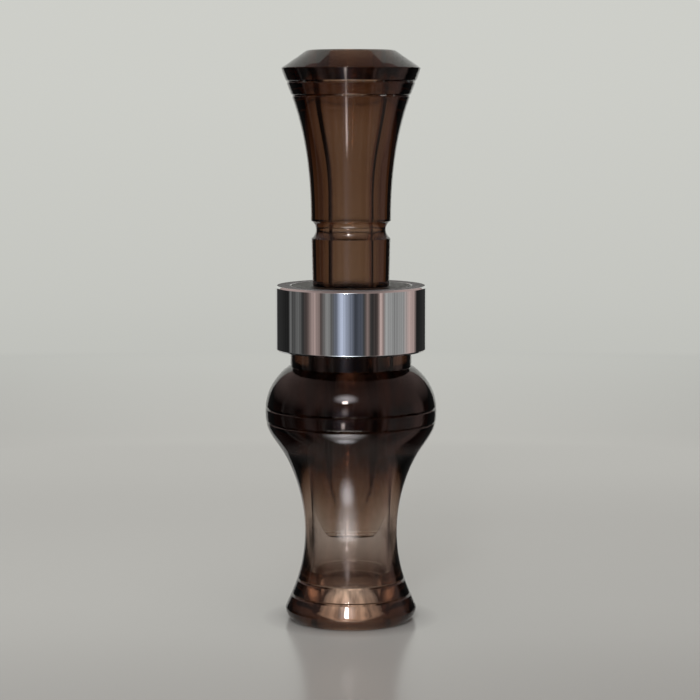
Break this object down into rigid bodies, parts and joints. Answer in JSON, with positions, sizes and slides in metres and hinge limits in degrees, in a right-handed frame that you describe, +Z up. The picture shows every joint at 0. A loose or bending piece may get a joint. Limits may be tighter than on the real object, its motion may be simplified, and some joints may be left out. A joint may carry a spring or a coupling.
{
  "type": "bird call",
  "caption": "Mouth-blown bird call stood on its mouthpiece: bored barrel with a metal band, and a flared insert whose toneboard carries a wedged reed.",
  "frame": {"origin": "centre of the ring at the mouthpiece end that the call stands on, at z = 0", "axes": "+Z up along the call's axis from the mouthpiece to the bell, +Y the side of the toneboard that carries the reed, +X to the right when looking along +Y"},
  "size_m": [0.036, 0.036, 0.1196],
  "materials": {
    "smoke_barrel": "polished clear acrylic with a smoke-brown tint",
    "smoke_insert": "polished clear acrylic with a darker smoke-brown tint",
    "polished_band": "mirror polished, with fine turning marks",
    "reed_film": "frosted clear polyester film",
    "cork": "fine cork"
  },
  "bodies": {
    "barrel": {"barrel": "smoke_barrel", "band": "polished_band"},
    "insert": {"insert": "smoke_insert"},
    "reed": {"reed": "reed_film"},
    "wedge": {"wedge": "cork"}
  },
  "joints": [
    {"name": "insert_pull", "type": "slide", "parent": "barrel", "child": "insert", "axis": [0, 0, 1], "range_m": [0, 0.06]},
    {"name": "reed_flex", "type": "hinge", "parent": "insert", "child": "reed", "pos_m": [0, -0.00036, 0.048], "axis": [-1, 0, 0], "range_deg": [0, 7.8], "stiffness_Nm_per_rad": 0.008, "deforming": ["reed"]},
    {"name": "wedge_slide", "type": "slide", "parent": "insert", "child": "wedge", "axis": [0, 0, -1], "range_m": [0, 0.036]}
  ]
}
